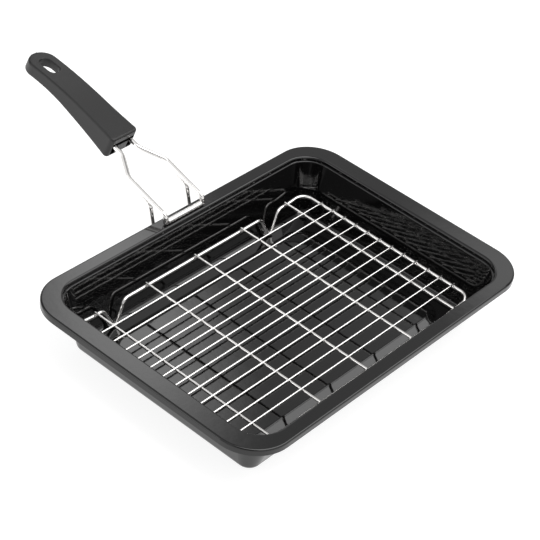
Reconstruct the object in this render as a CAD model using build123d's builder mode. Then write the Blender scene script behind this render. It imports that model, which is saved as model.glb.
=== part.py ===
"""Grill pan: pressed enamelled pan, welded wire rack and a hinged wire handle with a moulded grip.

Millimetres. X runs across the pan with the handle at -X, Y along its long side, Z up.
The origin is the middle of the pan's base, at the height of the surface that it stands on.
"""
from build123d import *
from math import copysign, cos, radians, sin, tan
import os

# Pan
pan_width = 270.0
pan_length = 388.0
pan_height = 58.0
sheet = 0.8
rim_side_width = 14.4
rim_end_width = 20.4
rim_corner_radius = 39.0
rim_edge_radius = 1.8
lip_drop = 6.3
opening_corner_radius = 27.0
opening_edge_radius = 2.2
step_depth = 4.0
ledge_width = 1.35
ledge_edge_radius = 1.2
wall_draft = 16.4
cove_radius = 7.0
plateau_height = 3.6
plateau_margin = 23.1
plateau_corner_radius = 24.0
plateau_edge_radius = 6.0
plateau_side_slope = 24.0
cut_overrun = 1.0
level_tolerance_share = 0.1

# Wire rack
frame_wire = 3.6
cross_wire = 2.6
fine_wire = 1.8
cross_wire_count = 5
fine_wire_count = 12
cross_wire_pitch_share = 0.2069
fine_wire_pitch_share = 0.07145
fine_wire_shift_share = 0.15
rack_side_inset = 0.9
rack_end_inset = 0.45
rack_shift = 4.0
rack_corner_radius = 11.3
rack_rise_share = 0.6
rack_rise_bend = 12.0
rack_foot_drop = 20.7
rack_foot_lean = 3.8
rack_foot_span = 26.0
rack_foot_tip = 4.6
rack_foot_bend = 8.0
rack_foot_tip_bend = 3.0
rack_foot_spacing_share = 0.68
wire_overhang = 0.8
wire_end_chamfer = 0.3
weld_sink = 0.05
seat_gap = 0.3

# Handle wires
handle_wire = 5.0
arm_spacing = 49.0
bar_inset = 9.5
arm_lean = 1.2
arm_knee_height = 9.6
arm_slope = 16.6
arm_straight = 51.0
arm_taper_run = 24.0
arm_grip_spacing = 20.6
arm_knee_bend = 6.0
arm_taper_bend = 14.0
arm_in_grip = 45.0
hook_start = 32.0
hook_leg = 19.6
hook_leg_lean = 18.0
hook_bend = 5.0
hook_toe_depth = 14.0
hook_end_chamfer = 0.6

# Grip
grip_start = 86.0
grip_length = 127.5
grip_top_front = 11.0
grip_bottom_front = 12.6
grip_top_straight = 45.0
grip_top_slope = -2.0
grip_top_end = -0.8
grip_bottom_straight = 61.0
grip_bottom_slope = 4.6
grip_bottom_end = 14.2
grip_front_width = 34.0
grip_waist_width = 29.8
grip_waist_run = 50.0
grip_end_width = 28.8
grip_side_draft = 3.0
grip_edge_radius = 2.2
grip_corner_radius = 4.0
hang_hole_length = 22.5
hang_hole_width = 12.0
hang_hole_from_end = 21.8
hang_hole_tilt = 9.0
hang_hole_edge = 1.0
hang_recess_margin = 4.0
hang_recess_depth = 2.5
bore_clearance = 0.05
along_tolerance = 15.0
pocket_width = 27.0
pocket_depth = 6.0
pocket_roof = 7.0
pocket_floor = 3.0
plug_top = -0.5
plug_gap = 0.2
plug_stem_length = 22.0
plug_stem_width = 8.0
plug_stem_height = 4.0

# Sizes that follow from the ones above
opening_width = pan_width - 2 * rim_side_width
opening_length = pan_length - 2 * rim_end_width
ledge_height = pan_height - step_depth
tub_width = opening_width - 2 * ledge_width
tub_length = opening_length - 2 * ledge_width
tub_corner_radius = opening_corner_radius - ledge_width
wall_thickness_level = sheet / cos(radians(wall_draft))
wall_run = (ledge_height - sheet) * tan(radians(wall_draft))
floor_width = tub_width - 2 * wall_run
floor_length = tub_length - 2 * wall_run
plateau_taper = 90.0 - plateau_side_slope
plateau_base_margin = plateau_margin - plateau_height / tan(radians(plateau_side_slope))

frame_radius = frame_wire / 2
frame_half_x = floor_width / 2 - rack_side_inset
frame_half_y = floor_length / 2 - rack_end_inset
frame_level = sheet + seat_gap + frame_radius + rack_foot_drop
cross_level = frame_level + frame_radius + cross_wire / 2 - weld_sink
fine_level = cross_level + cross_wire / 2 + fine_wire / 2 - weld_sink
end_level = fine_level - fine_wire / 2 - frame_radius + weld_sink
cross_wire_pitch = cross_wire_pitch_share * 2 * frame_half_y
fine_wire_pitch = fine_wire_pitch_share * 2 * frame_half_x

handle_radius = handle_wire / 2
bar_x = -pan_width / 2 + bar_inset
bar_z = pan_height + seat_gap + handle_radius
knee_x = bar_x - arm_lean
knee_z = pan_height + arm_knee_height
along = (-cos(radians(arm_slope)), sin(radians(arm_slope)))
across = (sin(radians(arm_slope)), cos(radians(arm_slope)))


def arm_place(run, rise=0.0):
    """X and Z of a point given along the arms from their knee, and square to them."""
    return (knee_x + run * along[0] + rise * across[0], knee_z + run * along[1] + rise * across[1])


def on_arm(run, y, rise=0.0):
    x, z = arm_place(run, rise)
    return (x, y, z)


side_plane = Plane(origin=(knee_x, 0, knee_z), x_dir=(along[0], 0, along[1]), z_dir=(0, 1, 0))
plan_plane = Plane(origin=(knee_x, 0, knee_z), x_dir=(along[0], 0, along[1]), z_dir=(across[0], 0, across[1]))


def save(builder, name):
    builder.part.label = name
    export_step(builder.part, f"parts/{name}.step")


def level_edges(builder, height):
    """Edges that lie wholly at one height."""
    near = level_tolerance_share * sheet
    return builder.edges().filter_by(
        lambda edge: abs(edge.bounding_box().min.Z - height) < near
        and abs(edge.bounding_box().max.Z - height) < near
    )


def inside(edges, half_x, half_y):
    """The edges of the given ones that stay within a half width and a half length."""
    return edges.filter_by(
        lambda edge: max(abs(edge.bounding_box().min.X), abs(edge.bounding_box().max.X)) < half_x
        and max(abs(edge.bounding_box().min.Y), abs(edge.bounding_box().max.Y)) < half_y
    )


def tub_block(grow, bottom, radius):
    """Solid of the pan's drafted body, with a coved foot: `grow` wider than its inside at every height."""
    with BuildPart() as block:
        with BuildSketch(Plane.XY.offset(ledge_height)):
            RectangleRounded(tub_width + 2 * grow, tub_length + 2 * grow, tub_corner_radius + grow)
        extrude(amount=bottom - ledge_height, taper=wall_draft)
        fillet(level_edges(block, bottom), radius)
    return block.part


def plateau_block(bottom, inset, radius):
    """Solid of the floor's raised middle, with sloping sides and a rounded top edge."""
    base_x = floor_width - 2 * (plateau_base_margin + inset)
    base_y = floor_length - 2 * (plateau_base_margin + inset)
    with BuildPart() as block:
        with BuildSketch(Plane.XY.offset(bottom)):
            RectangleRounded(base_x, base_y, plateau_corner_radius - inset)
        extrude(amount=plateau_height, taper=plateau_taper)
        fillet(level_edges(block, bottom + plateau_height), radius)
    return block.part


def floor_core(core, plateau, level, radius):
    """A tub block hollowed by the plateau from below, with the hollow's mouth rounded."""
    with BuildPart() as shaped:
        add(core)
        add(plateau, mode=Mode.SUBTRACT)
        mouth = inside(level_edges(shaped, level), floor_width / 2 - plateau_base_margin / 2, floor_length / 2)
        mouth = inside(mouth, floor_width / 2, floor_length / 2 - plateau_base_margin / 2)
        fillet(mouth, radius)
    return shaped.part


def make_pan():
    """One pressing: flat rim with its turned-down lip, step and ledge, drafted wall, coved channel, plateau."""
    outer_inset = sheet * tan(radians(plateau_side_slope / 2))
    inner = floor_core(
        tub_block(0, sheet, cove_radius),
        plateau_block(sheet, 0, plateau_edge_radius),
        sheet,
        plateau_edge_radius - sheet,
    )
    outer = floor_core(
        tub_block(wall_thickness_level, 0, cove_radius + sheet),
        plateau_block(0, outer_inset, plateau_edge_radius - sheet),
        0,
        plateau_edge_radius,
    )
    with BuildPart() as pan_body:
        with BuildSketch(Plane.XY.offset(pan_height)):
            RectangleRounded(pan_width, pan_length, rim_corner_radius)
        extrude(amount=-lip_drop)
        fillet(level_edges(pan_body, pan_height), rim_edge_radius)
        with BuildSketch(Plane.XY.offset(pan_height - sheet)):
            RectangleRounded(pan_width - 2 * sheet, pan_length - 2 * sheet, rim_corner_radius - sheet)
        extrude(amount=-lip_drop, mode=Mode.SUBTRACT)
        fillet(level_edges(pan_body, pan_height - sheet), rim_edge_radius - sheet)
        add(outer)
        with BuildSketch(Plane.XY.offset(ledge_height - sheet)):
            RectangleRounded(opening_width + 2 * sheet, opening_length + 2 * sheet, opening_corner_radius + sheet)
        extrude(amount=step_depth)
        rim_under = inside(
            level_edges(pan_body, pan_height - sheet),
            opening_width / 2 + 2 * sheet,
            opening_length / 2 + 2 * sheet,
        )
        fillet(rim_under, opening_edge_radius - sheet)
        with BuildSketch(Plane.XY.offset(ledge_height)):
            RectangleRounded(opening_width, opening_length, opening_corner_radius)
        extrude(amount=step_depth, mode=Mode.SUBTRACT)
        add(inner, mode=Mode.SUBTRACT)
        rim_inner = inside(
            level_edges(pan_body, pan_height),
            opening_width / 2 + sheet,
            opening_length / 2 + sheet,
        )
        fillet(rim_inner, opening_edge_radius)
        ledge_inner = inside(
            level_edges(pan_body, ledge_height),
            (tub_width + ledge_width) / 2,
            (tub_length + ledge_width) / 2,
        )
        fillet(ledge_inner, ledge_edge_radius)
    save(pan_body, "pan_body")


def foot_points(x, y, way):
    """Corners of one foot, where the frame wire dips to the floor and comes up again."""
    low = frame_level - rack_foot_drop
    low_x = x - copysign(rack_foot_lean, x)
    return [
        (x, y - way * rack_foot_span / 2, frame_level),
        (low_x, y - way * rack_foot_tip / 2, low),
        (low_x, y + way * rack_foot_tip / 2, low),
        (x, y + way * rack_foot_span / 2, frame_level),
    ]


def frame_side(x, way):
    """Corners of one long side of the frame: from one raised end, along two feet, to the other raised end."""
    foot_y = rack_foot_spacing_share * frame_half_y
    rise_y = frame_half_y - rack_rise_share * (frame_half_y - foot_y - rack_foot_span / 2)
    middle = -rack_shift
    points = [(x, middle - way * frame_half_y, end_level), (x, middle - way * rise_y, frame_level)]
    points += foot_points(x, middle - way * foot_y, way) + foot_points(x, middle + way * foot_y, way)
    return points + [(x, middle + way * rise_y, frame_level), (x, middle + way * frame_half_y, end_level)]


def make_frame_wire():
    """The rack's outer wire: one closed loop with two feet on each long side and its two ends raised."""
    foot_bends = [rack_foot_bend, rack_foot_tip_bend, rack_foot_tip_bend, rack_foot_bend]
    side_bends = [rack_corner_radius, rack_rise_bend] + foot_bends + foot_bends + [rack_rise_bend, rack_corner_radius]
    points = frame_side(-frame_half_x, 1) + frame_side(frame_half_x, -1)
    with BuildPart() as rack_frame_wire:
        with BuildLine():
            FilletPolyline(*points, radius=side_bends + side_bends, close=True)
        loop = rack_frame_wire.pending_edges_as_wire
        with BuildSketch(Plane(origin=loop @ 0, z_dir=loop % 0)):
            Circle(frame_radius)
        sweep(path=loop)
    save(rack_frame_wire, "rack_frame_wire")


def make_cross_wires():
    """Wires across the rack, welded on top of the frame's long sides."""
    half = frame_half_x + wire_overhang
    for number in range(cross_wire_count):
        y = (number - (cross_wire_count - 1) / 2) * cross_wire_pitch - rack_shift
        with BuildPart() as wire:
            with BuildSketch(Plane.YZ.offset(-half)):
                with Locations((y, cross_level)):
                    Circle(cross_wire / 2)
            extrude(amount=2 * half)
            chamfer(wire.edges().filter_by(GeomType.CIRCLE), wire_end_chamfer)
        save(wire, f"rack_cross_wire_{number + 1}")


def make_fine_wires():
    """Wires along the rack, welded on the cross wires and the frame's raised ends: the bars that food lies on."""
    half = frame_half_y + wire_overhang
    for number in range(fine_wire_count):
        x = (number - (fine_wire_count - 1) / 2 + fine_wire_shift_share) * fine_wire_pitch
        with BuildPart() as wire:
            with BuildSketch(Plane.XZ.offset(rack_shift - half)):
                with Locations((x, fine_level)):
                    Circle(fine_wire / 2)
            extrude(amount=2 * half)
            chamfer(wire.edges().filter_by(GeomType.CIRCLE), wire_end_chamfer)
        save(wire, f"rack_fine_wire_{number + 1:02d}")


def make_bar():
    """Bar between the arms, lying on the rim: the handle turns about it."""
    half = arm_spacing / 2 - handle_radius + weld_sink
    with BuildPart() as handle_bar:
        with BuildSketch(Plane.XZ.offset(-half)):
            with Locations((bar_x, bar_z)):
                Circle(handle_radius)
        extrude(amount=2 * half)
    save(handle_bar, "handle_bar")


def arm_path_points(way):
    """Corners of an arm, from the bar up to its knee, out, in towards its fellow and into the grip."""
    wide = way * arm_spacing / 2
    close = way * arm_grip_spacing / 2
    return [
        (bar_x, wide, bar_z),
        on_arm(0, wide),
        on_arm(arm_straight, wide),
        on_arm(arm_straight + arm_taper_run, close),
        on_arm(grip_start + arm_in_grip, close),
    ]


def make_arm(way, name):
    points = arm_path_points(way)
    bends = [arm_knee_bend, arm_taper_bend, arm_taper_bend]
    start = Vector(*points[0])
    heading = Vector(*points[1]) - start
    with BuildPart() as arm:
        with BuildLine() as path:
            FilletPolyline(*points, radius=bends)
        with BuildSketch(Plane(origin=start, z_dir=heading)):
            Circle(handle_radius)
        sweep(path=path.wires()[0])
        with Locations(start):
            Sphere(handle_radius)
    save(arm, name)


def make_hook(way, name):
    """Bent wire welded under an arm: it goes down past the rim and its toe reaches in under the lip."""
    y = way * arm_spacing / 2
    below = weld_sink - handle_wire
    toe_z = pan_height - hook_toe_depth
    knee = on_arm(hook_leg, y, below)
    leg_drop = knee[2] - toe_z
    toe_corner_x = knee[0] + leg_drop * tan(radians(hook_leg_lean))
    toe_top_drop = ledge_height - (toe_z + handle_radius)
    wall_x = tub_width / 2 + wall_thickness_level - toe_top_drop * tan(radians(wall_draft))
    points = [
        on_arm(hook_start, y, below),
        knee,
        (toe_corner_x, y, toe_z),
        (-wall_x - seat_gap, y, toe_z),
    ]
    start = Vector(*points[0])
    heading = Vector(*points[1]) - start
    with BuildPart() as hook:
        with BuildLine() as path:
            FilletPolyline(*points, radius=hook_bend)
        with BuildSketch(Plane(origin=start, z_dir=heading)):
            Circle(handle_radius)
        sweep(path=path.wires()[0])
        ends = hook.faces().filter_by(GeomType.PLANE).edges()
        chamfer(ends, hook_end_chamfer)
    save(hook, name)


def grip_side():
    """Side view of the grip: straight then drooping top, and a bottom that sweeps up before it droops."""
    end = grip_start + grip_length
    top_knee = grip_start + grip_top_straight
    top_knee_rise = grip_top_front + grip_top_straight * tan(radians(grip_top_slope))
    low_knee = grip_start + grip_bottom_straight
    low_knee_rise = -grip_bottom_front + grip_bottom_straight * tan(radians(grip_bottom_slope))
    with BuildSketch(side_plane) as side:
        with BuildLine():
            top_line = Line((grip_start, grip_top_front), (top_knee, top_knee_rise))
            top_arc = TangentArc(top_line @ 1, (end, grip_top_end), tangent=top_line % 1)
            low_line = Line((grip_start, -grip_bottom_front), (low_knee, low_knee_rise))
            low_arc = TangentArc(low_line @ 1, (end, -grip_bottom_end), tangent=low_line % 1)
            Line(top_arc @ 1, low_arc @ 1)
            Line(low_line @ 0, top_line @ 0)
        make_face()
    return side.sketch


def grip_plan():
    """Plan of the grip: flared at the front, slightly waisted, with a round free end."""
    end = grip_start + grip_length
    round_start = end - grip_end_width / 2
    waist = grip_start + grip_waist_run
    with BuildSketch(plan_plane.offset(grip_top_front)) as plan:
        with BuildLine():
            right = Line((round_start, grip_end_width / 2), (waist, grip_waist_width / 2))
            right_flare = TangentArc(right @ 1, (grip_start, grip_front_width / 2), tangent=right % 1)
            left = Line((round_start, -grip_end_width / 2), (waist, -grip_waist_width / 2))
            left_flare = TangentArc(left @ 1, (grip_start, -grip_front_width / 2), tangent=left % 1)
            Line(right_flare @ 1, left_flare @ 1)
            ThreePointArc(right @ 0, (end, 0), left @ 0)
        make_face()
    return plan.sketch


def runs_along(edge, direction):
    """Whether an edge's ends lie along a direction, or nearly."""
    chord = edge @ 1 - edge @ 0
    return abs(chord.dot(direction)) > cos(radians(along_tolerance)) * chord.length


def grip_outline_edges(grip):
    """Edges round the grip's top and bottom, without the seams that cross a face."""
    upward = Vector(across[0], 0, across[1])
    sideways = Vector(0, 1, 0)
    front = Vector(*on_arm(grip_start + cut_overrun, 0)).dot(Vector(along[0], 0, along[1]))
    edges = grip.edges().filter_by(lambda edge: not runs_along(edge, upward))
    return edges.filter_by(
        lambda edge: edge.geom_type != GeomType.LINE
        or not runs_along(edge, sideways)
        or (edge @ 0.5).dot(Vector(along[0], 0, along[1])) < front
    )


def make_grip():
    """Moulded grip with a hanging hole and an open pocket where the arms go in."""
    top, bottom = pocket_span()
    heading = Vector(along[0], 0, along[1])
    upward = Vector(across[0], 0, across[1])
    front_run = Vector(*on_arm(grip_start + cut_overrun, 0)).dot(heading)
    hole_centre = on_arm(grip_start + grip_length - hang_hole_from_end, 0)
    tilt = radians(arm_slope - hang_hole_tilt)
    hole_plane = Plane(origin=hole_centre, x_dir=(-cos(tilt), 0, sin(tilt)), z_dir=(sin(tilt), 0, cos(tilt)))
    front = Plane(origin=on_arm(grip_start, 0), x_dir=(0, 1, 0), z_dir=-heading)
    with BuildPart() as grip:
        extrude(grip_side(), amount=grip_front_width, both=True)
        extrude(
            grip_plan(),
            amount=-(grip_top_front + grip_bottom_end + cut_overrun),
            taper=-grip_side_draft,
            mode=Mode.INTERSECT,
        )
        front_corners = grip.edges().filter_by(
            lambda edge: runs_along(edge, upward) and (edge @ 0.5).dot(heading) < front_run
        )
        fillet(front_corners, grip_corner_radius)
        fillet(grip_outline_edges(grip), grip_edge_radius)

        # Hanging hole, square to the drooping end
        solid_edges = grip.edges()
        with BuildSketch(hole_plane):
            SlotOverall(hang_hole_length, hang_hole_width)
        extrude(amount=grip_length, both=True, mode=Mode.SUBTRACT)
        fillet(grip.edges() - solid_edges, hang_hole_edge)

        # The moulding is hollow under the hanging hole, so only its roof has the hole's own width
        with BuildSketch(hole_plane.offset(-hang_recess_depth)):
            SlotOverall(hang_hole_length + 2 * hang_recess_margin, hang_hole_width + 2 * hang_recess_margin)
        extrude(amount=-grip_length, mode=Mode.SUBTRACT)

        # Front pocket, the plug's socket and the bores for the arms
        with BuildSketch(front):
            with Locations((0, (top + bottom) / 2)):
                Rectangle(pocket_width, top - bottom)
        extrude(amount=-pocket_depth, mode=Mode.SUBTRACT)
        with BuildSketch(front.offset(-pocket_depth)):
            Rectangle(plug_stem_width, plug_stem_height)
        extrude(amount=-plug_stem_length, mode=Mode.SUBTRACT)
        with BuildSketch(front):
            with GridLocations(arm_grip_spacing, 0, 2, 1):
                Circle(handle_radius + bore_clearance)
        extrude(amount=-(arm_in_grip + bore_clearance), mode=Mode.SUBTRACT)
    save(grip, "grip")


def pocket_span():
    """Top and bottom of the pocket in the grip's front, measured square to the arms."""
    return grip_top_front - pocket_roof, pocket_floor - grip_bottom_front


def make_plug():
    """Insert that fills the lower part of the grip's pocket and keys the two arms apart."""
    bottom = pocket_span()[1]
    width = arm_grip_spacing - handle_wire - 2 * plug_gap
    back = Plane(
        origin=on_arm(grip_start + pocket_depth, 0), x_dir=(0, 1, 0), z_dir=(-along[0], 0, -along[1])
    )
    with BuildPart() as grip_plug:
        with BuildSketch(back):
            with Locations((0, (plug_top + bottom) / 2)):
                Rectangle(width, plug_top - bottom)
        extrude(amount=pocket_depth)
        with BuildSketch(back):
            Rectangle(plug_stem_width - plug_gap, plug_stem_height - plug_gap)
        extrude(amount=-(plug_stem_length - plug_gap))
    save(grip_plug, "grip_plug")


def main():
    os.makedirs("parts", exist_ok=True)
    make_pan()
    make_frame_wire()
    make_cross_wires()
    make_fine_wires()
    make_bar()
    make_arm(-1, "handle_arm_left")
    make_arm(1, "handle_arm_right")
    make_hook(-1, "handle_hook_left")
    make_hook(1, "handle_hook_right")
    make_grip()
    make_plug()


main()
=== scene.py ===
"""Grill pan: finishes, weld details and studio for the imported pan, rack and handle.

Metres, in the frame's own axes: X across the pan with the handle at -X, Y along it, Z up.
"""
import math

import bpy
from bpy.props import FloatProperty, FloatVectorProperty, IntProperty, PointerProperty
from mathutils import Euler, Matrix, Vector


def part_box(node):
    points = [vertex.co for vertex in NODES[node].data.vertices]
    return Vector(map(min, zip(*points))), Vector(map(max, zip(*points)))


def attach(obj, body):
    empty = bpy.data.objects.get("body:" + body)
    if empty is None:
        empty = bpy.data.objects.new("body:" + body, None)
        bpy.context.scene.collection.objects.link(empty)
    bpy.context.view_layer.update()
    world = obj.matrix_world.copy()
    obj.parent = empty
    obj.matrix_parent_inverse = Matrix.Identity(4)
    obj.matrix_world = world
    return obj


bl_info = {
    "name": "Grill Pan",
    "version": (1, 0, 0),
    "blender": (4, 5, 0),
    "location": "3D View > Sidebar > Grill Pan",
    "description": "Enamel, chrome and grip finishes, weld details and studio for a grill pan",
    "category": "Object",
}

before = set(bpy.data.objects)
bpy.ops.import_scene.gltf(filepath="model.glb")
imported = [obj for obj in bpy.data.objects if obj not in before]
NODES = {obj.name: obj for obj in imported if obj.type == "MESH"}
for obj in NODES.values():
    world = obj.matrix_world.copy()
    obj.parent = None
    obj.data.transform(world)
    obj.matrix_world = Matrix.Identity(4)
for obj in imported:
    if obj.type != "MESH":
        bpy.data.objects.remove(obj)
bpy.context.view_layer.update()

MM = 0.001
BLACK = (0.0, 0.0, 0.0, 1.0)
WHITE = (1.0, 1.0, 1.0, 1.0)

RACK_WIRES = [name for name in NODES if name.startswith("rack_")]
CROSS_WIRES = sorted(name for name in RACK_WIRES if name.startswith("rack_cross"))
FINE_WIRES = sorted(name for name in RACK_WIRES if name.startswith("rack_fine"))
HANDLE_WIRES = [name for name in NODES if name.startswith("handle_")]

# Repeats in a metre of each finish's slow clouds and of its fine speckle.
ENAMEL_SCALES = (130.0, 1500.0)
RACK_SCALES = (70.0, 2600.0)
HANDLE_SCALES = (50.0, 2600.0)
WELD_SCALES = (400.0, 3000.0)
GRIP_SCALES = (40.0, 2200.0)
CLOUD_DETAIL = 3.0
SPECKLE_DETAIL = 1.0
MASK_RANGE = (0.3, 0.7)

# Share of itself by which each finish's colour varies.
ENAMEL_MOTTLE = 0.4
WIRE_MOTTLE = 0.05
WELD_MOTTLE = 0.12
GRIP_MOTTLE = 0.08

# Shares of the set roughness between which each finish varies.
ENAMEL_GLOSS = (0.8, 1.25)
WIRE_GLOSS = (0.7, 1.4)
WELD_GLOSS = (2.0, 5.0)
GRIP_GLOSS = (0.85, 1.15)

# Height and strength of each finish's relief.
ENAMEL_RIPPLE = (0.04 * MM, 1.0)
DRAWING_MARKS = (0.04 * MM, 0.25)
WELD_PITS = (0.06 * MM, 0.5)
GRIP_TEXTURE = (0.1 * MM, 0.35)

ENAMEL_IOR = 1.5
WELD_DULLNESS = 0.82

# Welds: sides, least upright part of an end face's normal, and shares of height and size.
WELD_SIDES = 12
END_FACE = 0.9
NUGGET_BAND = 0.3
NUGGET_DOME = ((0.2, 0.85), (0.15, 0.65))
BEAD_VALLEY = 0.88
BEAD_TAPER = 0.85
BEAD_TAPER_POWER = 4
MERGE_DISTANCE = 0.01 * MM
SMOOTH_ANGLE = math.radians(50)

# Studio.
FLOOR_SIZE = 12.0
FLOOR_COLOUR = (0.32, 0.32, 0.32, 1.0)
FLOOR_ROUGHNESS = 0.9
FLOOR_SPECULAR = 0.1
KEY_BOX = {"width": 1.5, "length": 2.4, "place": (0.6, 0.7, 1.7), "aim": (0.6, 0.7, 0.0)}
SIDE_BOX = {"width": 1.0, "length": 0.5, "place": (-0.8, -1.02, 0.3), "aim": (-0.25, 0.0, 0.1)}
NEAR_CARD = {"length": 1.2, "width": 0.56, "place": (-0.96, 0.92, 1.2), "turn": math.radians(139)}
FAR_CARD = {"length": 0.8, "width": 0.5, "place": (-0.48, 1.58, 1.2), "turn": 0.0}
FAR_CARD_SHARE = 0.5
CARD_SIDES = 64
CARD_PLATEAU = 0.8
CAMERA_SENSOR = 36.0
CAMERA_CLIP = (0.05, 50.0)

# Places where the sky's brightness changes, from 0 straight beyond the pan to 1 straight before it.
FAR_SKY_ENDS = 0.14
DIM_BAND = (0.25, 0.31)
FRONT_SKY_STARTS = 0.4
# Cosines of the angles from the camera's direction at which its shade starts and is full.
SHADE_RANGE = (0.86, 0.96)


class FinishSettings(bpy.types.PropertyGroup):
    """Colours and surface values of the object's finishes."""

    enamel_colour: FloatVectorProperty(
        name="Enamel", description="Colour of the pan's black enamel", subtype="COLOR", size=3,
        default=(0.0022, 0.0021, 0.0022), min=0.0, max=1.0,
    )
    enamel_roughness: FloatProperty(
        name="Enamel roughness", description="Roughness of the fired enamel", subtype="FACTOR",
        default=0.05, min=0.0, max=1.0,
    )
    chrome_colour: FloatVectorProperty(
        name="Chrome", description="Colour of the plated wires", subtype="COLOR", size=3,
        default=(0.90, 0.885, 0.87), min=0.0, max=1.0,
    )
    chrome_roughness: FloatProperty(
        name="Chrome roughness", description="Roughness of the plated wires", subtype="FACTOR",
        default=0.06, min=0.0, max=1.0,
    )
    grip_colour: FloatVectorProperty(
        name="Grip", description="Colour of the moulded grip", subtype="COLOR", size=3,
        default=(0.0055, 0.0052, 0.0053), min=0.0, max=1.0,
    )
    # Painted shade: the plug's colour is the grip's darkened by this share, standing in for the shade
    # of the grip's pocket.
    plug_painted_shade: FloatProperty(
        name="Plug shade", description="Colour of the plug as a share of the grip's", subtype="FACTOR",
        default=0.3, min=0.0, max=1.0,
    )
    grip_roughness: FloatProperty(
        name="Grip roughness", description="Roughness of the moulded grip", subtype="FACTOR",
        default=0.42, min=0.0, max=1.0,
    )


def length_property(name, description, default):
    return FloatProperty(
        name=name, description=description, subtype="DISTANCE", unit="LENGTH", default=default,
    )


class WeldSettings(bpy.types.PropertyGroup):
    """Sizes of the welds that join the wires, and where they sit on the handle."""

    nugget_radius: length_property(
        "Bar weld", "Radius of the welds under the rack's fine wires", 1.15 * MM,
    )
    side_nugget_radius: length_property(
        "Side weld", "Radius of the welds on the frame's long sides", 1.6 * MM,
    )
    nugget_height: length_property("Weld height", "Height of the rack's welds", 1.2 * MM)
    frame_radius: length_property("Frame wire radius", "Radius of the rack's frame wire", 1.8 * MM)
    handle_wire: length_property("Handle wire", "Diameter of the handle's wires", 5.0 * MM)
    arm_slope: FloatProperty(
        name="Arm slope", description="Rise of the arms from level", subtype="ANGLE",
        default=math.radians(16.6),
    )
    arm_knee: FloatVectorProperty(
        name="Arm knee", description="Where the arms' straight run starts, midway between the arms",
        subtype="XYZ", size=3, default=(-126.7 * MM, 0.0, 67.6 * MM),
    )
    seam_run: length_property(
        "Seam place", "Middle of the hook's weld, along the arm from its knee", 27.0 * MM,
    )
    seam_length: length_property("Seam length", "Length of the weld between hook and arm", 8.5 * MM)
    seam_radius: length_property("Seam radius", "Radius of the weld between hook and arm", 0.85 * MM)
    seam_offset: length_property("Seam offset", "From the arm's middle out to each weld run", 1.5 * MM)
    seam_ripples: IntProperty(
        name="Seam ripples", description="Number of ripples along a weld run",
        default=8, min=3, max=20,
    )
    collar_radius: length_property(
        "Collar radius", "Radius of the weld at each end of the bar", 2.7 * MM,
    )
    collar_height: length_property("Collar width", "Width of the weld at each end of the bar", 1.5 * MM)


class StudioSettings(bpy.types.PropertyGroup):
    """Camera and lighting of the plain studio."""

    azimuth: FloatProperty(
        name="Azimuth", description="Camera's turn round the pan, from looking along +Y",
        subtype="ANGLE", default=math.radians(34.84),
    )
    elevation: FloatProperty(
        name="Elevation", description="Camera's height above the horizon",
        subtype="ANGLE", default=math.radians(37.80),
    )
    roll: FloatProperty(
        name="Roll", description="Camera's turn about its own line of sight",
        subtype="ANGLE", default=math.radians(9.99),
    )
    distance: FloatProperty(
        name="Distance", description="From the camera to the aim point",
        subtype="DISTANCE", unit="LENGTH", default=1.610,
    )
    aim: FloatVectorProperty(
        name="Aim", description="Point at the height of the rim that the camera looks at",
        subtype="XYZ", size=3, default=(-0.0204, 0.0011, 0.058),
    )
    lens: FloatProperty(
        name="Lens", description="Focal length on a 36 mm sensor", subtype="DISTANCE_CAMERA",
        default=120.0,
    )
    sky: FloatProperty(
        name="Sky", description="Brightness of the studio beyond the handle",
        default=0.62, min=0.0, max=1.0,
    )
    dim_sky: FloatProperty(
        name="Dim sky", description="Brightness of the band between the far sky and the front sky",
        default=0.3, min=0.0, max=1.0,
    )
    front_sky: FloatProperty(
        name="Front sky", description="Brightness of the studio on the camera's side",
        default=0.92, min=0.0, max=1.0,
    )
    camera_shade: FloatProperty(
        name="Camera shade",
        description="Share of the sky's light left at the place where the photograph's camera stood",
        default=0.35, min=0.0, max=1.0,
    )
    key_radiance: FloatProperty(
        name="Key", description="Brightness of the soft box overhead", default=2.9, min=0.0,
    )
    side_radiance: FloatProperty(
        name="Side", description="Brightness of the soft box low beside the grip",
        default=1.5, min=0.0,
    )
    card_radiance: FloatProperty(
        name="Card", description="Brightness of the nearer light card beyond the handle",
        default=3.0, min=0.0,
    )
    floor_glow: FloatProperty(
        name="Floor glow", description="Light that the floor gives of its own, to soften the shadow",
        default=0.85, min=0.0,
    )


def deselect_all():
    bpy.ops.object.select_all(action="DESELECT")


def new_material(name):
    """A new material, its node tree and its Principled BSDF."""
    material = bpy.data.materials.new(name)
    material.use_nodes = True
    tree = material.node_tree
    return material, tree, tree.nodes["Principled BSDF"]


def surface_variation_group():
    """Shared group: slow clouds and fine speckle of a surface, as two masks from 0 to 1."""
    group = bpy.data.node_groups.new("surface_variation", "ShaderNodeTree")
    interface = group.interface
    interface.new_socket("Vector", in_out="INPUT", socket_type="NodeSocketVector")
    start = group.nodes.new("NodeGroupInput")
    end = group.nodes.new("NodeGroupOutput")
    for name, detail in (("Cloud", CLOUD_DETAIL), ("Speckle", SPECKLE_DETAIL)):
        interface.new_socket(f"{name} Scale", in_out="INPUT", socket_type="NodeSocketFloat")
        interface.new_socket(name, in_out="OUTPUT", socket_type="NodeSocketFloat")
        noise = group.nodes.new("ShaderNodeTexNoise")
        noise.inputs["Detail"].default_value = detail
        group.links.new(start.outputs["Vector"], noise.inputs["Vector"])
        group.links.new(start.outputs[f"{name} Scale"], noise.inputs["Scale"])
        group.links.new(noise.outputs["Fac"], end.inputs[name])
    return group


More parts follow.
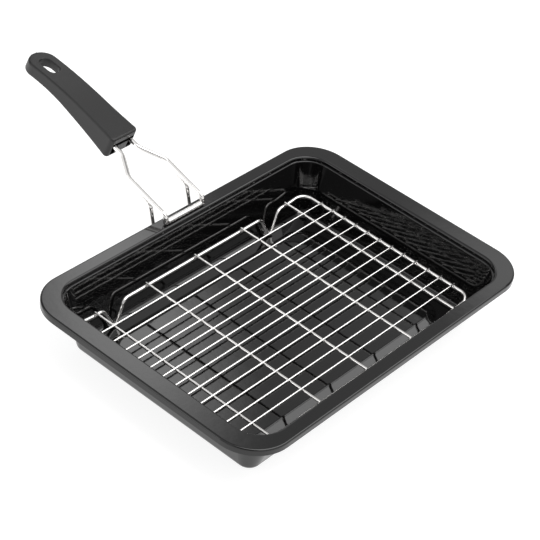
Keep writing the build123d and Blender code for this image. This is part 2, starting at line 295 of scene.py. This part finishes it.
def surface_masks(tree, scales):
    """The cloud mask and the speckle mask, on the piece's own coordinates."""
    coordinates = tree.nodes.new("ShaderNodeTexCoord")
    node = tree.nodes.new("ShaderNodeGroup")
    node.node_tree = bpy.data.node_groups.get("surface_variation") or surface_variation_group()
    node.inputs["Cloud Scale"].default_value, node.inputs["Speckle Scale"].default_value = scales
    tree.links.new(coordinates.outputs["Object"], node.inputs["Vector"])
    return node.outputs["Cloud"], node.outputs["Speckle"]


def ranged(tree, source, source_range, result_range):
    """A value that runs through the result's range as the source runs through its own."""
    node = tree.nodes.new("ShaderNodeMapRange")
    node.inputs["From Min"].default_value, node.inputs["From Max"].default_value = source_range
    node.inputs["To Min"].default_value, node.inputs["To Max"].default_value = result_range
    tree.links.new(source, node.inputs["Value"])
    return node.outputs["Result"]


def vary_colour(tree, shader, source, colour, share):
    """Makes the colour darker and lighter by a share of itself as the source varies."""
    node = tree.nodes.new("ShaderNodeMix")
    node.data_type = "RGBA"
    node.inputs["A"].default_value = (*[channel * (1 - share) for channel in colour], 1)
    node.inputs["B"].default_value = (*[channel * (1 + share) for channel in colour], 1)
    tree.links.new(ranged(tree, source, MASK_RANGE, (0.0, 1.0)), node.inputs["Factor"])
    tree.links.new(node.outputs["Result"], shader.inputs["Base Color"])


def vary_roughness(tree, shader, source, roughness, shares):
    """Varies the roughness between two shares of its set value."""
    limits = [roughness * share for share in shares]
    tree.links.new(ranged(tree, source, MASK_RANGE, limits), shader.inputs["Roughness"])


def add_relief(tree, shader, source, relief):
    """Raises the surface a little where the source is high."""
    node = tree.nodes.new("ShaderNodeBump")
    node.inputs["Distance"].default_value, node.inputs["Strength"].default_value = relief
    tree.links.new(source, node.inputs["Height"])
    tree.links.new(node.outputs["Normal"], shader.inputs["Normal"])


def enamel_material(settings):
    """Glossy black vitreous enamel with a faint ripple and fine dark speckle."""
    material, tree, shader = new_material("black_enamel")
    clouds, speckle = surface_masks(tree, ENAMEL_SCALES)
    vary_colour(tree, shader, speckle, settings.enamel_colour, ENAMEL_MOTTLE)
    vary_roughness(tree, shader, speckle, settings.enamel_roughness, ENAMEL_GLOSS)
    add_relief(tree, shader, clouds, ENAMEL_RIPPLE)
    shader.inputs["IOR"].default_value = ENAMEL_IOR
    return material


def chrome_material(name, settings, scales):
    """Bright plated wire with faint drawing marks and a little cloudiness."""
    material, tree, shader = new_material(name)
    clouds, speckle = surface_masks(tree, scales)
    vary_colour(tree, shader, clouds, settings.chrome_colour, WIRE_MOTTLE)
    vary_roughness(tree, shader, clouds, settings.chrome_roughness, WIRE_GLOSS)
    add_relief(tree, shader, speckle, DRAWING_MARKS)
    shader.inputs["Metallic"].default_value = 1.0
    return material


def weld_material(settings):
    """Plating over weld metal: the wires' colour, but rougher and slightly dulled."""
    existing = bpy.data.materials.get("weld_plating")
    if existing:
        return existing
    material, tree, shader = new_material("weld_plating")
    clouds, speckle = surface_masks(tree, WELD_SCALES)
    dull = [channel * WELD_DULLNESS for channel in settings.chrome_colour]
    vary_colour(tree, shader, clouds, dull, WELD_MOTTLE)
    vary_roughness(tree, shader, speckle, settings.chrome_roughness, WELD_GLOSS)
    add_relief(tree, shader, speckle, WELD_PITS)
    shader.inputs["Metallic"].default_value = 1.0
    return material


def grip_material(name, settings, shade):
    """Satin black moulding with a fine texture, its colour multiplied by a share; a share below one
    paints shade into the colour.
    """
    material, tree, shader = new_material(name)
    clouds, speckle = surface_masks(tree, GRIP_SCALES)
    colour = [channel * shade for channel in settings.grip_colour]
    vary_colour(tree, shader, clouds, colour, GRIP_MOTTLE)
    vary_roughness(tree, shader, speckle, settings.grip_roughness, GRIP_GLOSS)
    add_relief(tree, shader, speckle, GRIP_TEXTURE)
    return material


def dress(names, material):
    """Gives CAD nodes a material in every slot that they have."""
    for name in names:
        mesh = NODES[name].data
        if not mesh.materials:
            mesh.materials.append(material)
        for number in range(len(mesh.materials)):
            mesh.materials[number] = material


def select_faces(piece, test):
    """Selects only the piece's faces that pass the test, in edit mode."""
    bpy.ops.object.mode_set(mode="EDIT")
    bpy.ops.mesh.select_mode(type="FACE")
    bpy.ops.mesh.select_all(action="DESELECT")
    bpy.ops.object.mode_set(mode="OBJECT")
    for face in piece.data.polygons:
        face.select = test(face)
    bpy.ops.object.mode_set(mode="EDIT")


def extrude_along_z(rise, share):
    """Extrudes the selected faces along Z and makes the new ones a share of their size."""
    bpy.ops.mesh.extrude_region_move(TRANSFORM_OT_translate={"value": (0, 0, rise)})
    bpy.ops.transform.resize(value=(share, share, 1))


def weld_nugget(radius, height):
    """Metal pressed out where two wires are welded: a short barrel with domed ends."""
    deselect_all()
    bpy.ops.mesh.primitive_cylinder_add(
        vertices=WELD_SIDES, radius=radius, depth=height * NUGGET_BAND,
    )
    nugget = bpy.context.object
    for way in (-1, 1):
        select_faces(nugget, lambda face: face.normal.z * way > END_FACE)
        for rise, share in NUGGET_DOME:
            extrude_along_z(way * height * rise, share)
        bpy.ops.object.mode_set(mode="OBJECT")
    return nugget


def weld_bead(length, radius, ripples):
    """Rippled run of weld metal, finer towards both ends, lying along X."""
    steps = 2 * ripples
    step = length / steps
    sizes = []
    for number in range(steps + 1):
        from_middle = 2 * number / steps - 1
        taper = math.sqrt(1 - from_middle ** BEAD_TAPER_POWER * BEAD_TAPER)
        sizes.append(taper if number % 2 else taper * BEAD_VALLEY)
    deselect_all()
    bpy.ops.mesh.primitive_cylinder_add(vertices=WELD_SIDES, radius=radius * sizes[0], depth=step)
    bead = bpy.context.object
    select_faces(bead, lambda face: face.normal.z > END_FACE)
    for before, after in zip(sizes, sizes[1:]):
        extrude_along_z(step, after / before)
    bpy.ops.object.mode_set(mode="OBJECT")
    bpy.ops.object.origin_set(type="ORIGIN_GEOMETRY", center="BOUNDS")
    bead.location = (0, 0, 0)
    bead.rotation_euler = (0, math.radians(90), 0)
    bpy.ops.object.transform_apply(location=True, rotation=True, scale=True)
    return bead


def copy_to(source, places):
    """Puts a copy of the source at each place and turn, and joins them into one active object."""
    pieces = []
    for place, turn in places:
        deselect_all()
        source.select_set(True)
        bpy.context.view_layer.objects.active = source
        bpy.ops.object.duplicate(linked=False)
        piece = bpy.context.object
        piece.location = place
        piece.rotation_euler = turn
        pieces.append(piece)
    deselect_all()
    for piece in pieces:
        piece.select_set(True)
    bpy.context.view_layer.objects.active = pieces[0]
    bpy.ops.object.join()
    bpy.data.objects.remove(source)


def finish_mesh(name, body, material):
    """Bakes the active object's place into its mesh, and gives it its name, finish and body."""
    piece = bpy.context.object
    bpy.ops.object.transform_apply(location=True, rotation=True, scale=True)
    bpy.ops.object.mode_set(mode="EDIT")
    bpy.ops.mesh.select_all(action="SELECT")
    bpy.ops.mesh.remove_doubles(threshold=MERGE_DISTANCE)
    bpy.ops.mesh.normals_make_consistent(inside=False)
    bpy.ops.object.mode_set(mode="OBJECT")
    bpy.ops.object.shade_smooth_by_angle(angle=SMOOTH_ANGLE)
    piece.name = name
    piece.data.name = name
    piece.data.materials.clear()
    piece.data.materials.append(material)
    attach(piece, body)


def corners(name):
    low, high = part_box(name)
    return Vector(low), Vector(high)


def middle(name):
    low, high = corners(name)
    return (low + high) / 2


class GRILLPAN_OT_pan(bpy.types.Operator):
    """Finish the pan's pressing in gloss black enamel"""

    bl_idname = "grillpan.pan"
    bl_label = "Pan"

    def execute(self, context):
        dress(["pan_body"], enamel_material(context.scene.grillpan_finish))
        return {"FINISHED"}


class GRILLPAN_OT_rack(bpy.types.Operator):
    """Finish the rack's wires in bright plating"""

    bl_idname = "grillpan.rack"
    bl_label = "Rack"

    def execute(self, context):
        finish = context.scene.grillpan_finish
        dress(RACK_WIRES, chrome_material("rack_plating", finish, RACK_SCALES))
        return {"FINISHED"}


class GRILLPAN_OT_rack_welds(bpy.types.Operator):
    """Add the pressed-out metal at each weld between the rack's wires"""

    bl_idname = "grillpan.rack_welds"
    bl_label = "Rack welds"

    def execute(self, context):
        welds = context.scene.grillpan_welds
        metal = weld_material(context.scene.grillpan_finish)
        fine_low, _ = corners(FINE_WIRES[0])
        cross_low, cross_high = corners(CROSS_WIRES[0])
        frame_low, frame_high = corners("rack_frame_wire")
        level = (fine_low.z + cross_high.z) / 2
        frame_sides = (frame_low.x + welds.frame_radius, frame_high.x - welds.frame_radius)
        frame_ends = (frame_low.y + welds.frame_radius, frame_high.y - welds.frame_radius)
        columns = [middle(fine).x for fine in FINE_WIRES]
        rows = [middle(cross).y for cross in CROSS_WIRES]
        bars = [(x, y, level) for y in rows for x in columns]
        sides = [(x, y, cross_low.z) for y in rows for x in frame_sides]
        ends = [(x, y, level) for x in columns for y in frame_ends]
        for name, radius, places in (
            ("rack_bar_welds", welds.nugget_radius, bars),
            ("rack_side_welds", welds.side_nugget_radius, sides),
            ("rack_end_welds", welds.nugget_radius, ends),
        ):
            nugget = weld_nugget(radius, welds.nugget_height)
            copy_to(nugget, [(place, (0, 0, 0)) for place in places])
            finish_mesh(name, "rack", metal)
        return {"FINISHED"}


class GRILLPAN_OT_handle(bpy.types.Operator):
    """Finish the handle's wires in bright plating"""

    bl_idname = "grillpan.handle"
    bl_label = "Handle wires"

    def execute(self, context):
        finish = context.scene.grillpan_finish
        dress(HANDLE_WIRES, chrome_material("handle_plating", finish, HANDLE_SCALES))
        return {"FINISHED"}


class GRILLPAN_OT_handle_welds(bpy.types.Operator):
    """Add the weld runs between arms and hooks, and the weld collars at the bar's ends"""

    bl_idname = "grillpan.handle_welds"
    bl_label = "Handle welds"

    def execute(self, context):
        welds = context.scene.grillpan_welds
        metal = weld_material(context.scene.grillpan_finish)
        slope = welds.arm_slope
        along_arm = Vector((-math.cos(slope), 0, math.sin(slope)))
        below_arm = Vector((-math.sin(slope), 0, -math.cos(slope)))
        place = Vector(welds.arm_knee) + along_arm * welds.seam_run + below_arm * welds.handle_wire / 2
        seams = [
            ((place.x, middle(hook).y + side * welds.seam_offset, place.z), (0, slope, 0))
            for hook in ("handle_hook_left", "handle_hook_right")
            for side in (-1, 1)
        ]
        copy_to(weld_bead(welds.seam_length, welds.seam_radius, welds.seam_ripples), seams)
        finish_mesh("handle_hook_welds", "handle", metal)

        bar_low, bar_high = corners("handle_bar")
        centre = middle("handle_bar")
        inset = welds.collar_height / 2
        along_bar = (math.radians(90), 0, 0)
        bar_ends = (bar_low.y + inset, bar_high.y - inset)
        collars = [((centre.x, y, centre.z), along_bar) for y in bar_ends]
        copy_to(weld_nugget(welds.collar_radius, welds.collar_height), collars)
        finish_mesh("handle_bar_welds", "handle", metal)
        return {"FINISHED"}


class GRILLPAN_OT_grip(bpy.types.Operator):
    """Finish the grip and its plug as a satin black moulding, the plug's colour darkened as painted
    shade of the pocket it sits in
    """

    bl_idname = "grillpan.grip"
    bl_label = "Grip"

    def execute(self, context):
        finish = context.scene.grillpan_finish
        dress(["grip"], grip_material("satin_black_moulding", finish, 1.0))
        # Painted shade: the plug is the grip's moulding with its colour darkened, for the shade of the
        # pocket it sits in.
        dress(["grip_plug"], grip_material("plug_painted_shade_moulding", finish, finish.plug_painted_shade))
        return {"FINISHED"}


def add_floor(glow):
    """Pale floor, large enough to fill every view."""
    deselect_all()
    bpy.ops.mesh.primitive_plane_add(size=FLOOR_SIZE, location=(0, 0, 0))
    floor = bpy.context.object
    floor.name = "studio_floor"
    material, _, shader = new_material("studio_floor")
    shader.inputs["Base Color"].default_value = FLOOR_COLOUR
    shader.inputs["Roughness"].default_value = FLOOR_ROUGHNESS
    shader.inputs["Specular IOR Level"].default_value = FLOOR_SPECULAR
    shader.inputs["Emission Color"].default_value = WHITE
    shader.inputs["Emission Strength"].default_value = glow
    floor.data.materials.append(material)


def add_soft_box(name, radiance, width, length, place, aim):
    """Rectangular soft box with a given brightness, turned to face a point."""
    deselect_all()
    bpy.ops.object.light_add(type="AREA", location=place)
    light = bpy.context.object
    light.name = name
    light.data.shape = "RECTANGLE"
    light.data.size = width
    light.data.size_y = length
    light.data.energy = radiance * math.pi * width * length
    light.rotation_euler = (Vector(place) - Vector(aim)).to_track_quat("Z", "Y").to_euler()
    light.visible_camera = False


def add_light_card(name, radiance, length, width, place, turn):
    """Level glowing card above the pan, whose light fades from its middle to its edge."""
    deselect_all()
    bpy.ops.mesh.primitive_circle_add(
        vertices=CARD_SIDES, radius=length / 2, fill_type="NGON", location=place,
    )
    card = bpy.context.object
    card.name = name
    card.rotation_euler = (0, 0, turn)
    card.scale = (1, width / length, 1)
    material, tree, shader = new_material(name)
    coordinates = tree.nodes.new("ShaderNodeTexCoord")
    spread = tree.nodes.new("ShaderNodeMapping")
    spread.inputs["Scale"].default_value = (2 / length, 2 / length, 2 / length)
    fade = tree.nodes.new("ShaderNodeTexGradient")
    fade.gradient_type = "SPHERICAL"
    soften = tree.nodes.new("ShaderNodeMapRange")
    soften.interpolation_type = "SMOOTHSTEP"
    soften.inputs["From Max"].default_value = CARD_PLATEAU
    tree.links.new(coordinates.outputs["Object"], spread.inputs["Vector"])
    tree.links.new(spread.outputs["Vector"], fade.inputs["Vector"])
    tree.links.new(fade.outputs["Fac"], soften.inputs["Value"])
    tree.links.new(soften.outputs["Result"], shader.inputs["Alpha"])
    shader.inputs["Base Color"].default_value = BLACK
    shader.inputs["Specular IOR Level"].default_value = 0.0
    shader.inputs["Emission Color"].default_value = WHITE
    shader.inputs["Emission Strength"].default_value = radiance
    card.data.materials.append(material)
    card.visible_camera = False


def towards_camera(settings):
    return Vector((
        math.sin(settings.azimuth) * math.cos(settings.elevation),
        -math.cos(settings.azimuth) * math.cos(settings.elevation),
        math.sin(settings.elevation),
    ))


def nearness_to(tree, direction):
    """Cosine of the angle between the sky's direction and a fixed one."""
    coordinates = tree.nodes.new("ShaderNodeTexCoord")
    node = tree.nodes.new("ShaderNodeVectorMath")
    node.operation = "DOT_PRODUCT"
    node.inputs[1].default_value = direction
    tree.links.new(coordinates.outputs["Generated"], node.inputs[0])
    return node.outputs["Value"]


def set_sky(settings):
    """Pale surroundings with a dim band and a dim place, which give the wires their grey lines."""
    world = bpy.data.worlds.new("studio_sky")
    world.use_nodes = True
    tree = world.node_tree
    background = tree.nodes["Background"]
    front = nearness_to(tree, (math.sin(settings.azimuth), -math.cos(settings.azimuth), 0))
    ramp = tree.nodes.new("ShaderNodeValToRGB")
    band_start, band_end = DIM_BAND
    stops = (
        (FAR_SKY_ENDS, settings.sky),
        (band_start, settings.dim_sky),
        (band_end, settings.dim_sky),
        (FRONT_SKY_STARTS, settings.front_sky),
    )
    elements = ramp.color_ramp.elements
    while len(elements) < len(stops):
        elements.new(1.0)
    for element, (position, level) in zip(elements, stops):
        element.position = position
        element.color = (level, level, level, 1)
    tree.links.new(ranged(tree, front, (-1.0, 1.0), (0.0, 1.0)), ramp.inputs["Fac"])
    tree.links.new(ramp.outputs["Color"], background.inputs["Color"])
    camera_place = nearness_to(tree, towards_camera(settings))
    shade = ranged(tree, camera_place, SHADE_RANGE, (1.0, settings.camera_shade))
    tree.links.new(shade, background.inputs["Strength"])
    bpy.context.scene.world = world


def add_camera(settings):
    back = towards_camera(settings)
    deselect_all()
    bpy.ops.object.camera_add(location=Vector(settings.aim) + back * settings.distance)
    camera = bpy.context.object
    camera.name = "studio_camera"
    upright = back.to_track_quat("Z", "Y")
    camera.rotation_mode = "QUATERNION"
    camera.rotation_quaternion = upright @ Euler((0, 0, settings.roll)).to_quaternion()
    camera.data.sensor_width = CAMERA_SENSOR
    camera.data.lens = settings.lens
    camera.data.clip_start, camera.data.clip_end = CAMERA_CLIP
    bpy.context.scene.camera = camera


class GRILLPAN_OT_stage(bpy.types.Operator):
    """Add the floor, the lights and the camera"""

    bl_idname = "grillpan.stage"
    bl_label = "Studio"

    def execute(self, context):
        studio = context.scene.grillpan_studio
        context.scene.view_settings.view_transform = "Standard"
        add_floor(studio.floor_glow)
        set_sky(studio)
        add_soft_box("key_soft_box", studio.key_radiance, **KEY_BOX)
        add_soft_box("side_soft_box", studio.side_radiance, **SIDE_BOX)
        add_light_card("light_card", studio.card_radiance, **NEAR_CARD)
        add_light_card("far_card", studio.card_radiance * FAR_CARD_SHARE, **FAR_CARD)
        add_camera(studio)
        return {"FINISHED"}


class GRILLPAN_PT_panel(bpy.types.Panel):
    """Lists the sizes and colours of the grill pan and the steps that dress it"""

    bl_idname = "GRILLPAN_PT_panel"
    bl_label = "Grill Pan"
    bl_space_type = "VIEW_3D"
    bl_region_type = "UI"
    bl_category = "Grill Pan"

    def draw(self, context):
        scene = context.scene
        for group in (scene.grillpan_finish, scene.grillpan_welds, scene.grillpan_studio):
            for name in group.bl_rna.properties.keys():
                if name not in ("rna_type", "name"):
                    self.layout.prop(group, name)
        for operator in OPERATORS:
            self.layout.operator(operator.bl_idname)


OPERATORS = (
    GRILLPAN_OT_pan,
    GRILLPAN_OT_rack,
    GRILLPAN_OT_rack_welds,
    GRILLPAN_OT_handle,
    GRILLPAN_OT_handle_welds,
    GRILLPAN_OT_grip,
    GRILLPAN_OT_stage,
)
CLASSES = (FinishSettings, WeldSettings, StudioSettings) + OPERATORS + (GRILLPAN_PT_panel,)


def register():
    for item in CLASSES:
        bpy.utils.register_class(item)
    bpy.types.Scene.grillpan_finish = PointerProperty(type=FinishSettings)
    bpy.types.Scene.grillpan_welds = PointerProperty(type=WeldSettings)
    bpy.types.Scene.grillpan_studio = PointerProperty(type=StudioSettings)


def unregister():
    del bpy.types.Scene.grillpan_studio
    del bpy.types.Scene.grillpan_welds
    del bpy.types.Scene.grillpan_finish
    for item in reversed(CLASSES):
        bpy.utils.unregister_class(item)


def main():
    register()
    bpy.ops.grillpan.stage()
    bpy.ops.grillpan.pan()
    bpy.ops.grillpan.rack()
    bpy.ops.grillpan.rack_welds()
    bpy.ops.grillpan.handle()
    bpy.ops.grillpan.handle_welds()
    bpy.ops.grillpan.grip()


if __name__ == "__main__":
    main()
